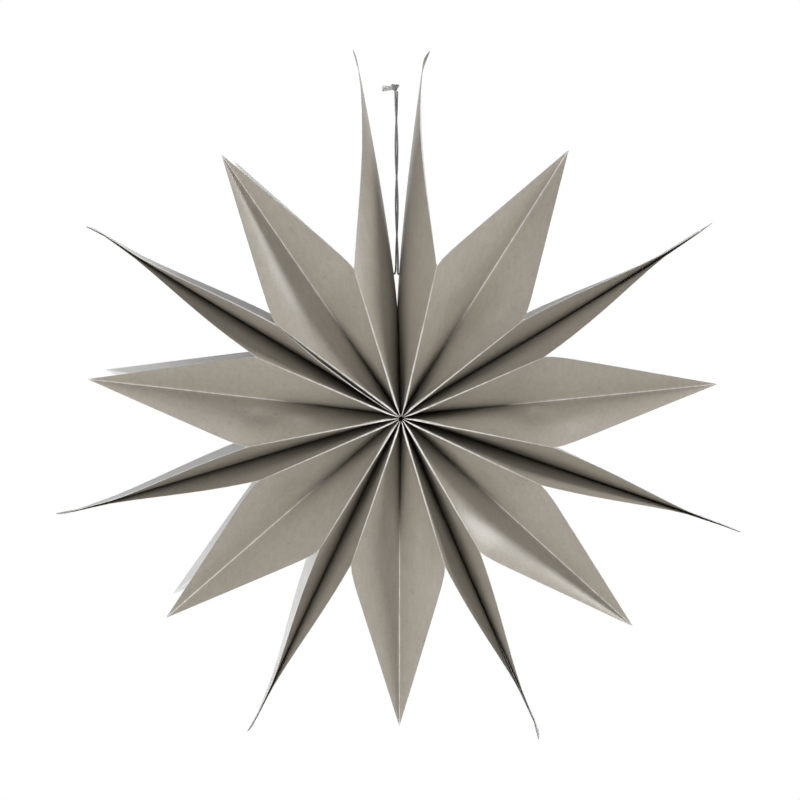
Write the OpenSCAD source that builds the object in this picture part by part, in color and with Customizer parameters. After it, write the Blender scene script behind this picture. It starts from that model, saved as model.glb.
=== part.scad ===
// Hanging star folded from gusseted paper bags that are glued side by side and fanned into a ring.
// Frame: X to the right, Y to the rear, Z up. The origin is where the cord enters its top knot.
// Angles round the hub are counted clockwise from straight up, seen from the front.

/* [Star] */
// Length of a spike, from the hub line to its tip
spike_len = 303; // [200:1:450]
// Length of a ridge, from the hub line to the shoulder where the cut begins
ridge_len = 126; // [90:1:170]
// Length of a leaf, from the hub line to its tip along the crease
leaf_len = 256; // [180:1:290]
// Depth of the star from its front ridges to its rear ridges
star_depth = 125; // [100:1:180]
// Thickness of the paper
paper_t = 0.3; // [0.2:0.05:0.5]
// Film of glue between two neighbouring bags
glue_gap = 0.1; // [0.05:0.05:0.3]

/* [Gussets] */
// Depth of a gusset, from the ridge to the crease, where the bag is flat
gusset_depth = 48; // [35:1:49]
// How far the crease comes forward from the hub to the leaf's tip
crease_rise = 33; // [10:1:45]
// Stretch past the shoulder over which a leaf stops widening
leaf_ease = 16; // [6:1:30]

/* [Fan] */
// Angle from one glued joint to the next
bag_pitch_deg = 48.1; // [47:0.1:49]
// Middle of the six glued joints
joint_axis_deg = 180.7; // [178:0.1:182]
// Middle of the gap between the two end panels
gap_axis_deg = -1.6; // [-3:0.1:3]
// Angle between the two ridges beside a glued joint
ridge_gap_deg = 14; // [8:0.5:18]
// Angle from the middle of the gap to the ridge of an end panel
end_ridge_deg = 15.3; // [12:0.1:17]
// How far an end panel's tip stands off the middle of the gap
end_spread = 28.5; // [20:0.1:40]
// Distance from the hub line at which the two end panels part
end_part_r = 88; // [80:1:95]
// Turn of the rear face against the front face
star_twist_deg = 1.1; // [0:0.1:2]

/* [Hub] */
// Radius of the small hole in the middle of the star
hub_r = 3; // [2.5:0.5:6]
// Width of the glued seam that closes a bag at the hub
bottom_seam = 5; // [3:0.5:8]

/* [Hanging] */
// Height of the top knot over the middle of the star
hub_drop = 271; // [261:1:281]
// How far the middle of the star lies to the right of the knot
hub_side = 3.4; // [2.5:0.1:4.5]
// Distance of the tie holes from the hub line
tie_r = 118; // [117:0.5:119]
// Diameter of a tie hole
tie_hole_d = 3.4; // [3.2:0.1:4]
// Diameter of one strand of the cord
strand_d = 1.5; // [1.2:0.1:1.5]
// Diameter of the stopper knots inside the two end bags
stopper_d = 5; // [4.5:0.1:7]
// Diameter of the turns of the top knot
knot_d = 4.6; // [4:0.1:6]
// Length of the frayed tail beside the top knot
tail_len = 8; // [4:0.5:12]
// Width of the frayed tail at its end
tail_w = 5.4; // [3:0.1:7]
// Thickness of the frayed tail
tail_t = 1.8; // [1:0.1:3]

/* [Folded tips] */
// How far the most bent spike tip is turned aside
tip_hook = 4.3; // [0:0.1:6]
// Length of a spike's tip that is bent
tip_bend = 10; // [8:1:20]

/* [Hidden] */

bag_count = 7;
half_depth = star_depth / 2;
crease_hub = half_depth - gusset_depth;
crease_slope = crease_rise / leaf_len;
crease_cos = cos(atan(crease_slope));
hub = [hub_side, 0, -hub_drop];

// Small turns of the glued joints out of an even spread, as hands have set them
joint_drift_deg = [-0.8, 0.3, 0.4, 1.1, 0.5, -0.5];
// Lean of each spike's tip out of its joint
joint_lean_deg = [-1.1, 0.2, -0.7, -0.6, 0.1, 0.8];
// How much wider or narrower each joint stands open at its ridges
ridge_drift_deg = [1.4, 0.5, -0.2, -1.2, -1.1, -0.2];
// Small turns of the leaves out of the middle between their ridges
leaf_drift_deg = [-0.3, 0, -0.6, -1, 0.3, 0.7, 0.9];
// Bend of each spike's tip, right end panel first, as a share of the most bent one
tip_hook_shares = [1, 0, 0.2, 0.8, 0.5, 0.5, -0.5, -0.4];
// Half-width of the glued strip as a share of the half depth, and the bend of the panel beside it
glue_strip_share = 0.25;
flare_power = 1.5;
// Bend of a spike's lean along it
lean_power = 2;
// Bend of an end panel, which isn't glued: across its width, and along it out of the gap
end_flare_power = 2.1;
end_bend_power = 1.3;

// Places across a panel from its rear ridge to its front one, as shares of the half depth
panel_shares = [-1, -0.8, -0.6, -0.4, -0.2, -0.1, 0, 0.1, 0.2, 0.4, 0.6, 0.8, 1];
// Places across half a gusset, from the ridge to the crease
gusset_shares = [0, 0.25, 0.5, 0.75, 1];
// Places along a bag, from the hub to the cut
along_shares = [0, 0.08, 0.285, 0.385, 0.5, 0.75, 0.965, 1];

panel_n = len(panel_shares) - 1;
gusset_n = len(gusset_shares) - 1;
ring_n = 2 * panel_n + 4 * gusset_n;
row_n = len(along_shares);
ridge_a = panel_n;
crease_front = ridge_a + gusset_n;
ridge_b = crease_front + gusset_n;
rear_b = ridge_b + panel_n;
crease_rear = rear_b + gusset_n;

function out_dir(deg) = [sin(deg), 0, cos(deg)];
function side_dir(deg) = [cos(deg), 0, -sin(deg)];

// Centre line of a joint at a distance from the hub line; the first and the last are the end panels
function is_end(joint) = joint == 0 || joint == bag_count;
function end_lean(d) =
    asin(end_spread * pow(max(0, d - end_part_r) / (spike_len - end_part_r), end_bend_power) / d);
function joint_foot_deg(joint) =
    joint_axis_deg + (joint - bag_count / 2) * bag_pitch_deg + joint_drift_deg[joint - 1];
function joint_deg(joint, d) =
    joint == 0 ? gap_axis_deg + end_lean(d)
    : joint == bag_count ? 360 + gap_axis_deg - end_lean(d)
    : joint_foot_deg(joint) + joint_lean_deg[joint - 1] * pow(d / spike_len, lean_power);
function ridge_deg(joint, inward) =
    is_end(joint) ? gap_axis_deg + (joint == 0 ? 0 : 360) + inward * end_ridge_deg
    : joint_foot_deg(joint) + inward * (ridge_gap_deg + ridge_drift_deg[joint - 1]) / 2;
function hook_shift(joint, d) =
    tip_hook * tip_hook_shares[joint] * pow(max(0, d - spike_len + tip_bend) / tip_bend, 2);

// Height of the cut over the hub at a place across the panel or across half a gusset
function panel_cut(share) = spike_len - (spike_len - ridge_len) * abs(share);
function gusset_cut(share) = ridge_len + (leaf_len - ridge_len) * min(share, 1);

// A panel is flat along its glued strip and bends towards the bag's inside beside it
function flare(joint, share) =
    is_end(joint) ? pow(abs(share), end_flare_power)
    : pow(max(0, abs(share) - glue_strip_share) / (1 - glue_strip_share), flare_power);
function panel_point(joint, inward, d, share, depth_in) =
    let (centre = joint_deg(joint, d))
    let (deg = centre + (ridge_deg(joint, inward) - centre) * flare(joint, share))
    let (aside = inward * (glue_gap / 2 + depth_in) + hook_shift(joint, d))
    d * out_dir(deg) + aside * side_dir(deg) - [0, share * half_depth, 0];

// Half a gusset runs from a straight ridge to a straight crease; past the shoulder it widens no more
function widening(d) =
    d < ridge_len ? d
    : d < ridge_len + leaf_ease ? d - pow(d - ridge_len, 2) / (2 * leaf_ease)
    : ridge_len + leaf_ease / 2;
function crease_depth(d) = crease_hub + crease_slope * d;
function half_span(bag) = (ridge_deg(bag + 1, -1) - ridge_deg(bag, 1)) / 2;
function leaf_deg(bag) = ridge_deg(bag, 1) + half_span(bag) + leaf_drift_deg[bag];
function side_span(bag, hand) = half_span(bag) - hand * leaf_drift_deg[bag];
function fold_deg(bag, d) =
    atan2(widening(d) * sin(half_span(bag)), half_depth - crease_depth(min(d, ridge_len)));
function gusset_point(bag, hand, front, d, share, depth_in) =
    let (e = widening(d))
    let (fold = fold_deg(bag, d))
    let (across = hand * ((1 - share) * e * sin(side_span(bag, hand)) + depth_in * cos(fold)))
    let (out = d * crease_cos - (1 - share) * e * (crease_cos - cos(side_span(bag, hand))))
    let (rise = (1 - share) * (half_depth - crease_depth(min(e, ridge_len))))
    out * out_dir(leaf_deg(bag)) + across * side_dir(leaf_deg(bag))
        - [0, front * (crease_depth(d) + rise - depth_in * sin(fold)), 0];

// Where the inner faces of a fold meet, measured along the paper from the ridge and past the crease
function ridge_inset(bag, d) = paper_t * (1 + cos(fold_deg(bag, d))) / sin(fold_deg(bag, d));
function crease_inset(bag, d) = paper_t / tan(fold_deg(bag, d));

// One ring of points round the bag: panel, front gusset, panel, rear gusset
function height(start, cut, along) = start + along * (cut - start);
function panel_row(bag, inward, along, start, depth_in) =
    let (joint = inward > 0 ? bag : bag + 1)
    let (inset = depth_in > 0 ? ridge_inset(bag, height(start, ridge_len, along)) : 0)
    [for (place = panel_shares)
        let (share = inward * place * (1 - inset / half_depth))
        panel_point(joint, inward, height(start, panel_cut(share), along), share, depth_in)];
function gusset_side(bag, hand, front, along, start, depth_in, shares) =
    let (low = height(start, ridge_len, along))
    let (high = height(start, leaf_len, along))
    let (low_share = depth_in > 0 ? ridge_inset(bag, low) / gusset_depth : 0)
    let (high_share = 1 + (depth_in > 0 ? crease_inset(bag, high) / gusset_depth : 0))
    [for (s = shares)
        let (share = low_share + (high_share - low_share) * s)
        gusset_point(bag, hand, front, height(start, gusset_cut(share), along), share, depth_in)];
to_crease = [for (i = [1 : gusset_n]) gusset_shares[i]];
from_crease = [for (i = [gusset_n - 1 : -1 : 1]) gusset_shares[i]];
function bag_ring(bag, along, start, depth_in) = concat(
    panel_row(bag, 1, along, start, depth_in),
    gusset_side(bag, -1, 1, along, start, depth_in, to_crease),
    gusset_side(bag, 1, 1, along, start, depth_in, from_crease),
    panel_row(bag, -1, along, start, depth_in),
    gusset_side(bag, 1, -1, along, start, depth_in, to_crease),
    gusset_side(bag, -1, -1, along, start, depth_in, from_crease));

// Faces of the bag's skins, its seam at the hub and its cut edge
function turned(face, back) = back ? [for (i = [len(face) - 1 : -1 : 0]) face[i]] : face;
function quad(a, b, c, d, other) = other ? [[a, b, d], [b, c, d]] : [[a, b, c], [a, c, d]];
function skin_faces(base, back) =
    [for (row = [0 : row_n - 2], i = [0 : ring_n - 1])
        let (k = (i + 1) % ring_n)
        let (low = base + row * ring_n)
        let (high = low + ring_n)
        for (face = quad(low + i, low + k, high + k, high + i, i >= crease_front && i < crease_rear))
            turned(face, back)];
function leg_faces(ridge, step) =
    [for (j = [0 : gusset_n - 1])
        let (a = (ridge + ring_n - step * j) % ring_n)
        let (b = (ridge + ring_n - step * (j + 1)) % ring_n)
        let (c = (ridge + ring_n + step * (j + 1)) % ring_n)
        let (d = (ridge + ring_n + step * j) % ring_n)
        for (face = j == 0 ? [[a, b, c]] : quad(a, b, c, d, false)) turned(face, step < 0)];
inner_a = ridge_a - gusset_n;
inner_b = ridge_b + gusset_n;
web_n = panel_n - 2 * gusset_n;
web_faces = concat(
    [[inner_a, inner_b, crease_front]],
    [for (j = [0 : web_n - 1])
        for (face = quad(inner_a - j, inner_a - j - 1, inner_b + j + 1, inner_b + j, false)) face],
    [[gusset_n, crease_rear, rear_b - gusset_n]]);
seam_faces = concat(
    leg_faces(ridge_a, 1), leg_faces(ridge_b, -1),
    leg_faces(rear_b, 1), leg_faces(0, -1), web_faces);
function shifted(faces, by, back) =
    [for (face = faces) turned([for (p = face) p + by], back)];
inner_base = row_n * ring_n;
rim_low = (row_n - 1) * ring_n;
rim_faces =
    [for (i = [0 : ring_n - 1])
        let (k = (i + 1) % ring_n)
        for (face = quad(rim_low + i, rim_low + k, inner_base + rim_low + k, inner_base + rim_low + i,
                         false))
            face];
bag_faces = concat(
    skin_faces(0, false), skin_faces(inner_base, true),
    shifted(seam_faces, 0, false), shifted(seam_faces, inner_base, true), rim_faces);

// The whole star is twisted a little about the hub line
function twisted(p) =
    let (turn = star_twist_deg * p.y / star_depth)
    [p.x * cos(turn) + p.z * sin(turn), p.y, p.z * cos(turn) - p.x * sin(turn)];

module bag_sheet(bag) {
    outer = [for (along = along_shares) each bag_ring(bag, along, hub_r, 0)];
    inner = [for (along = along_shares) each bag_ring(bag, along, hub_r + bottom_seam, paper_t)];
    polyhedron(points = [for (p = concat(outer, inner)) twisted(p)], faces = bag_faces);
}

// Round hole for the cord on the centre line of an end panel
module tie_hole(joint) {
    translate(tie_r * out_dir(joint_deg(joint, tie_r)))
        rotate([0, 90 + joint_deg(joint, tie_r), 0])
            cylinder(d = tie_hole_d, h = 2 * tie_hole_d, center = true);
}

module paper_bag(bag) {
    color([0.61, 0.59, 0.55])
        translate(hub)
            difference() {
                bag_sheet(bag);
                if (bag == 0) tie_hole(0);
                if (bag == bag_count - 1) tie_hole(bag_count);
            }
}

// The two strands are laid round each other from the top knot down, part below and leave through
// the tie holes. The points of each end are the route's own.
twist_len = 144;
twist_lean = 0.6;
twist_half_turns = 3;
twist_rings = 30;
twist_r = 0.85;
left_end_route = [[-0.4, 0, -147.6], [-0.5, 0, -150], [-0.9, 0, -151.7], [-1.55, 0, -152.75],
                  [-2.37, 0, -152.95]];
right_end_route = [[1.45, 0, -147.6], [1.4, 0, -150.4], [1.4, 0, -152.1], [1.65, 0, -152.95],
                   [2.32, 0, -153.1]];
function twist_point(hand, i) =
    let (along = i / twist_rings)
    let (turn = 180 * twist_half_turns * along)
    [along * twist_lean + hand * twist_r * cos(turn), hand * twist_r * sin(turn), -along * twist_len];
function strand_route(hand, end_route) =
    concat([for (i = [0 : twist_rings]) twist_point(hand, i)], end_route);

strand_sides = 8;
function unit(v) = v / norm(v);
function heading(route, i) = unit(route[min(i + 1, len(route) - 1)] - route[max(i - 1, 0)]);
function strand_ring(route, i) =
    let (ahead = heading(route, i))
    let (aside = unit(cross(ahead, [0, 1, 0])))
    let (over = cross(aside, ahead))
    [for (k = [0 : strand_sides - 1])
        let (turn = 360 * k / strand_sides)
        route[i] + strand_d / 2 * (cos(turn) * aside + sin(turn) * over)];

module strand(route) {
    last = (len(route) - 1) * strand_sides;
    points = [for (i = [0 : len(route) - 1]) each strand_ring(route, i)];
    sides = [for (i = [0 : len(route) - 2], k = [0 : strand_sides - 1])
        let (low = i * strand_sides)
        let (next = (k + 1) % strand_sides)
        for (face = quad(low + k, low + next, low + strand_sides + next, low + strand_sides + k, false))
            face];
    caps = [[for (k = [strand_sides - 1 : -1 : 0]) k], [for (k = [0 : strand_sides - 1]) last + k]];
    polyhedron(points = points, faces = concat(sides, caps));
}

module cord_strand_left() {
    color([0.42, 0.42, 0.42]) strand(strand_route(1, left_end_route));
}

module cord_strand_right() {
    color([0.42, 0.42, 0.42]) strand(strand_route(-1, right_end_route));
}

// A stopper knot sits on the end of its strand, inside the end bag
knot_clear = 0.15;
module stopper_knot(route, hand) {
    color([0.42, 0.42, 0.42])
        translate(route[len(route) - 1] + [hand * (stopper_d / 2 + knot_clear), 0, 0])
            sphere(d = stopper_d, $fn = 24);
}

// The top knot stands on the ends of the strands, with its tail turned to the left
knot_turn_shares = [[0.06, 0.36], [-0.52, 0.36], [-0.3, 0.8]];
tail_root_share = 0.6;
tail_root_w = tail_root_share * tail_w;
tail_reach = knot_d / 2 + tail_len;
module cord_knot() {
    lift = knot_clear + knot_d / 2 - knot_turn_shares[0].y * knot_d;
    color([0.45, 0.45, 0.45])
        union() {
            hull()
                for (share = knot_turn_shares)
                    translate([share.x * knot_d, 0, share.y * knot_d + lift])
                        sphere(d = knot_d, $fn = 16);
            translate([knot_turn_shares[1].x * knot_d, tail_t / 2, lift + knot_turn_shares[1].y * knot_d])
                rotate([90, 0, 0])
                    linear_extrude(tail_t)
                        polygon([[0, -tail_root_w / 2], [0, tail_root_w / 2],
                                 [-tail_reach, tail_w / 2], [-tail_reach, -tail_w / 2]]);
        }
}

paper_bag(0);  // paper_bag_1
paper_bag(1);  // paper_bag_2
paper_bag(2);  // paper_bag_3
paper_bag(3);  // paper_bag_4
paper_bag(4);  // paper_bag_5
paper_bag(5);  // paper_bag_6
paper_bag(6);  // paper_bag_7
cord_strand_left();
cord_strand_right();
cord_knot();
stopper_knot(left_end_route, -1);  // stopper_knot_left
stopper_knot(right_end_route, 1);  // stopper_knot_right
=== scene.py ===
"""Looks of a hanging star folded from gusseted paper bags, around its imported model."""

import logging
import math
from dataclasses import dataclass, field
from enum import Enum
from typing import Any, ClassVar, Iterable, Sequence

import bmesh
import bpy
import numpy as np
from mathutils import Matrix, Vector
from mathutils.geometry import tessellate_polygon


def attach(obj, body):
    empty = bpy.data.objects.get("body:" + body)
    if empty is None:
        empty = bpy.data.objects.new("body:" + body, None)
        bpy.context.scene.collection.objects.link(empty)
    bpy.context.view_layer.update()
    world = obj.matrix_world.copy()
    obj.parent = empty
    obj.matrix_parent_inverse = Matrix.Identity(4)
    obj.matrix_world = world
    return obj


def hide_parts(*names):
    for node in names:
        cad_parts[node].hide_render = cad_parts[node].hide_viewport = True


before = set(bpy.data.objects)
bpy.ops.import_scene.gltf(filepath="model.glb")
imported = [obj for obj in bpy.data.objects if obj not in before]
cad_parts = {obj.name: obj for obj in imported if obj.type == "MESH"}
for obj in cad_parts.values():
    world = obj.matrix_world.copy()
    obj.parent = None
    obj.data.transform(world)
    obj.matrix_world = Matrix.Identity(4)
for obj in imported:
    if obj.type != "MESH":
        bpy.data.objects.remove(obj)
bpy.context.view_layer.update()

LOG = logging.getLogger("paper_star")
BODY = "root"
MM = 0.001
Points = np.ndarray
Row = tuple[float, ...]
Triple = tuple[float, float, float]
Colour = Triple
Object = bpy.types.Object
Material = bpy.types.Material


class Hand(Enum):
    """Side of a leaf, seen from the front and counted clockwise."""

    BEFORE = -1
    AFTER = 1

    @property
    def place(self) -> int:
        """Place of this side in a pair of values."""
        return 0 if self is Hand.BEFORE else 1


class Face(Enum):
    """Face of the star."""

    FRONT = 1
    REAR = -1


class Fold(Enum):
    """Mesh attributes: metres from a ridge, crease or cut, whether inside, and how pale a ridge is."""

    RIDGE = "ridge_distance"
    CREASE = "crease_distance"
    CUT = "cut_distance"
    INSIDE = "inside"
    PALE = "ridge_paleness"


class Value:
    """A shader socket that takes part in Python expressions."""

    def __init__(self, shader: "Shader", socket: bpy.types.NodeSocket) -> None:
        """Keeps the socket and the shader that owns it."""
        self.shader = shader
        self.socket = socket

    def _math(self, operation: str, *terms: Any) -> "Value":
        """Adds one Math node over values or numbers."""
        return self.shader.node("ShaderNodeMath", dict(enumerate(terms)), operation=operation)

    def __add__(self, other: Any) -> "Value":
        """self + other."""
        return self._math("ADD", self, other)

    __radd__ = __add__

    def __sub__(self, other: Any) -> "Value":
        """self - other."""
        return self._math("SUBTRACT", self, other)

    def __rsub__(self, other: Any) -> "Value":
        """other - self."""
        return self._math("SUBTRACT", other, self)

    def __mul__(self, other: Any) -> "Value":
        """self * other."""
        return self._math("MULTIPLY", self, other)

    __rmul__ = __mul__

    def __truediv__(self, other: Any) -> "Value":
        """self / other."""
        return self._math("DIVIDE", self, other)

    def __pow__(self, other: Any) -> "Value":
        """self ** other."""
        return self._math("POWER", self, other)

    def at_least(self, other: Any) -> "Value":
        """The larger of self and other."""
        return self._math("MAXIMUM", self, other)

    def clamped(self) -> "Value":
        """self, kept from 0 to 1."""
        return self.shader.node("ShaderNodeClamp", {"Value": self})

    def near(self, reach: float) -> "Value":
        """1 where self is 0, fading to 0 where self is reach or more."""
        return (1 - self / reach).clamped()


class Shader:
    """The node tree of one material or world."""

    def __init__(self, owner: Material | bpy.types.World) -> None:
        """Empties the tree but for its output.

        Args:
            owner: The material or world.
        """
        owner.use_nodes = True
        self.tree = owner.node_tree
        self.tree.nodes.clear()
        self.out = self.tree.nodes.new("ShaderNodeOutput" + type(owner).__name__)

    def node(self, kind: str, inputs: dict[Any, Any], output: Any = 0, **settings: Any) -> Value:
        """Adds any node.

        Args:
            kind: The node's type.
            inputs: Values or numbers for its sockets, by name or index.
            output: The socket that is returned, by name or index.
            settings: The node's properties.

        Returns:
            The chosen output.
        """
        made = self.tree.nodes.new(kind)
        for key, setting in settings.items():
            setattr(made, key, setting)
        for key, given in inputs.items():
            if isinstance(given, Value):
                self.tree.links.new(given.socket, made.inputs[key])
            else:
                made.inputs[key].default_value = given
        return Value(self, made.outputs[output])

    def attribute(self, name: str) -> Value:
        """A number that the mesh carries at each point."""
        return self.node("ShaderNodeAttribute", {}, "Fac", attribute_name=name)

    def noise(self, scale: float, octaves: float, stretch: Triple = (1, 1, 1)) -> Value:
        """Noise over the object's own coordinates.

        Args:
            scale: Cells per metre.
            octaves: Levels of finer noise.
            stretch: Scale of each axis.

        Returns:
            The noise from 0 to 1.
        """
        place = self.node("ShaderNodeTexCoord", {}, "Object")
        spread = self.node("ShaderNodeMapping", {"Vector": place, "Scale": stretch})
        return self.node("ShaderNodeTexNoise", {"Vector": spread, "Scale": scale, "Detail": octaves})

    def mix(self, factor: Any, *colours: Any) -> Value:
        """Mixes two colours, each a value or three numbers, by the share of the second."""
        low, high = (c if isinstance(c, Value) else (*c, 1.0) for c in colours)
        return self.node("ShaderNodeMix", {0: factor, 6: low, 7: high}, 2, data_type="RGBA")

    def finish(self, surface: Value) -> None:
        """Links the surface to the output."""
        self.tree.links.new(surface.socket, self.out.inputs["Surface"])


@dataclass(frozen=True)
class PaperFinish:
    """Paper that is grey outside and pale inside, with its pale core showing along the folds."""

    name: str = "grey_paper"
    base: Colour = (0.262, 0.237, 0.198)
    cloud_dark: Colour = (0.218, 0.199, 0.166)
    inside: Colour = (0.58, 0.575, 0.565)
    core: Colour = (0.70, 0.685, 0.655)
    speck_dark: Colour = (0.12, 0.108, 0.088)
    speck_pale: Colour = (0.41, 0.375, 0.325)
    fleck_dark: Colour = (0.17, 0.155, 0.13)
    ridge_width: float = 1.0 * MM
    ridge_line: float = 1.1
    ridge_power: float = 0.5
    crease_width: float = 0.6 * MM
    crease_line: float = 0.66
    crease_power: float = 0.7
    cut_width: float = 0.5 * MM
    cut_line: float = 0.1
    rub_width: float = 3.0 * MM
    rub_line: float = 0.10
    worn_least: float = 0.4
    worn_gain: float = 3.0
    worn_from: float = 1.0
    cloud_scale: float = 14.0
    cloud_gain: float = 1.6
    cloud_from: float = 0.3
    grain_scale: float = 900.0
    fibre_scale: float = 260.0
    fibre_stretch: Triple = (1.0, 1.0, 0.35)
    fibre_share: float = 0.8
    speck_share: float = 0.3
    fleck_scale: float = 180.0
    fleck_from: float = 0.80
    fleck_gain: float = 30.0
    fleck_share: float = 0.4
    roughness: float = 0.36
    roughness_spread: float = 0.1
    sag_scale: float = 30.0
    sag_depth: float = 0.6 * MM
    grain_depth: float = 0.25 * MM
    grain_strength: float = 0.12

    def material(self) -> Material:
        """Builds the paper's material.

        Returns:
            The material.
        """
        made = bpy.data.materials.new(self.name)
        shader = Shader(made)
        cloud = shader.noise(self.cloud_scale, octaves=4)
        grain = shader.noise(self.grain_scale, octaves=2)
        fibre = shader.noise(self.fibre_scale, octaves=3, stretch=self.fibre_stretch)
        fleck = shader.noise(self.fleck_scale, octaves=0)
        ridge, crease, cut, inside, pale = (shader.attribute(kind.value) for kind in Fold)
        tone = (cloud * self.cloud_gain - self.cloud_from).clamped()
        colour = shader.mix(tone, self.cloud_dark, self.base)
        speck = ((grain - 0.5) + (fibre - 0.5) * self.fibre_share + 0.5).clamped()
        specks = shader.mix(speck, self.speck_dark, self.speck_pale)
        colour = shader.mix(self.speck_share, colour, specks)
        flecks = ((fleck - self.fleck_from) * self.fleck_gain).clamped() * self.fleck_share
        colour = shader.mix(flecks, colour, self.fleck_dark)
        colour = shader.mix(inside, colour, self.inside)
        worn = (fibre * self.worn_gain - self.worn_from).clamped()
        worn = self.worn_least + (1 - self.worn_least) * worn
        line = ridge.near(self.ridge_width) ** self.ridge_power * self.ridge_line * pale
        line = line + crease.near(self.crease_width) ** self.crease_power * self.crease_line
        line = line + cut.near(self.cut_width) * self.cut_line
        rub = (ridge.near(self.rub_width) + crease.near(self.rub_width)) * self.rub_line
        colour = shader.mix((line * worn + rub).clamped(), colour, self.core)
        rough = self.roughness + self.roughness_spread * (fibre - 0.5)
        sag = shader.node("ShaderNodeBump", {
            "Distance": self.sag_depth, "Height": shader.noise(self.sag_scale, octaves=1)})
        bump = shader.node("ShaderNodeBump", {
            "Distance": self.grain_depth, "Height": (grain + fibre) * 0.5, "Strength": self.grain_strength,
            "Normal": sag})
        shader.finish(shader.node("ShaderNodeBsdfPrincipled", {
            "Base Color": colour, "Roughness": rough, "Normal": bump}))
        return made


@dataclass(frozen=True)
class CordFinish:
    """Matt cotton yarn, paler where it is frayed."""

    FRAY: ClassVar[str] = "fray"

    name: str
    dark: Colour
    pale: Colour
    frayed: Colour
    yarn_scale: float = 1600.0
    yarn_stretch: Triple = (1.0, 1.0, 0.4)
    yarn_depth: float = 0.1 * MM
    yarn_strength: float = 0.4
    patch_scale: float = 200.0
    tone_gain: float = 0.9
    tone_from: float = 0.4
    roughness: float = 0.9
    roughness_spread: float = 0.1
    specular: float = 0.2

    def material(self) -> Material:
        """Builds the yarn's material.

        Returns:
            The material.
        """
        made = bpy.data.materials.new(self.name)
        shader = Shader(made)
        yarn = shader.noise(self.yarn_scale, octaves=3, stretch=self.yarn_stretch)
        patch = shader.noise(self.patch_scale, octaves=2)
        tone = ((yarn + patch) * self.tone_gain - self.tone_from).clamped()
        colour = shader.mix(tone, self.dark, self.pale)
        colour = shader.mix(shader.attribute(self.FRAY), colour, self.frayed)
        rough = self.roughness - self.roughness_spread * patch
        bump = shader.node("ShaderNodeBump", {
            "Distance": self.yarn_depth, "Height": yarn, "Strength": self.yarn_strength})
        shader.finish(shader.node("ShaderNodeBsdfPrincipled", {
            "Base Color": colour, "Roughness": rough, "Normal": bump, "Specular IOR Level": self.specular}))
        return made


def out_dir(deg: Any) -> Points:
    """Direction out of the hub at an angle clockwise from straight up."""
    turn = np.radians(np.asarray(deg, float))
    return np.stack([np.sin(turn), np.zeros_like(turn), np.cos(turn)], -1)


def side_dir(deg: Any) -> Points:
    """Clockwise direction at that angle."""
    turn = np.radians(np.asarray(deg, float))
    return np.stack([np.cos(turn), np.zeros_like(turn), -np.sin(turn)], -1)


def path_lengths(path: Points) -> Points:
    """How far along a path each of its places lies."""
    return np.concatenate([[0], np.cumsum(np.linalg.norm(np.diff(path, axis=0), axis=1))])


def band(low: int, high: int, count: int) -> list[Sequence[int]]:
    """Faces between two rings of so many points, which begin at those indices."""
    return [(low + k, low + (k + 1) % count, high + (k + 1) % count, high + k) for k in range(count)]


def mesh_object(name: str, points: Points, faces: Iterable[Sequence[int]],
                sharp: Iterable[frozenset[int]] = ()) -> Object:
    """Makes a smooth mesh object with outward normals.

    Args:
        name: The object's name.
        points: Its points, in metres.
        faces: Indices of each face.
        sharp: Pairs of points whose edge stays sharp.

    Returns:
        The object, linked to the scene.
    """
    mesh = bpy.data.meshes.new(name)
    mesh.from_pydata([tuple(p) for p in points], [], [tuple(f) for f in faces])
    mesh.shade_smooth()
    hard = set(sharp)
    work = bmesh.new()
    work.from_mesh(mesh)
    bmesh.ops.recalc_face_normals(work, faces=work.faces)
    for edge in work.edges:
        edge.smooth = frozenset(v.index for v in edge.verts) not in hard
    work.to_mesh(mesh)
    work.free()
    made = bpy.data.objects.new(name, mesh)
    bpy.context.scene.collection.objects.link(made)
    return made


def store(piece: Object, layer: str, values: Points) -> None:
    """Stores a number for each point of a piece under the layer's name."""
    made = piece.data.attributes.new(layer, "FLOAT", "POINT")
    made.data.foreach_set("value", np.ascontiguousarray(values, dtype=np.float32))


def dress(piece: Object, material: Material, node: str) -> Object:
    """Gives a piece its looks and its place on the body.

    Args:
        piece: The piece.
        material: Its material.
        node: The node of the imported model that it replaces.

    Returns:
        The piece.
    """
    piece.data.materials.clear()
    piece.data.materials.append(material)
    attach(piece, BODY)
    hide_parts(node)
    LOG.info("%s: %d faces", piece.name, len(piece.data.polygons))
    return piece


@dataclass(frozen=True)
class Dent:
    """A soft dent or swelling in half a leaf."""

    bag: int
    hand: Hand
    out: float
    place: float
    depth: float
    out_size: float = 0.012
    place_size: float = 0.17

    def push(self, d: Points, place: Points) -> Points:
        """How far the paper is pushed forward, fading to nothing at the crease and the ridge."""
        edge = np.clip(place / self.place_size, 0, 1) * np.clip((1 - place) / self.place_size, 0, 1)
        return self.depth * edge * np.exp(
            -((d - self.out) / self.out_size) ** 2 - ((place - self.place) / self.place_size) ** 2)


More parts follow.
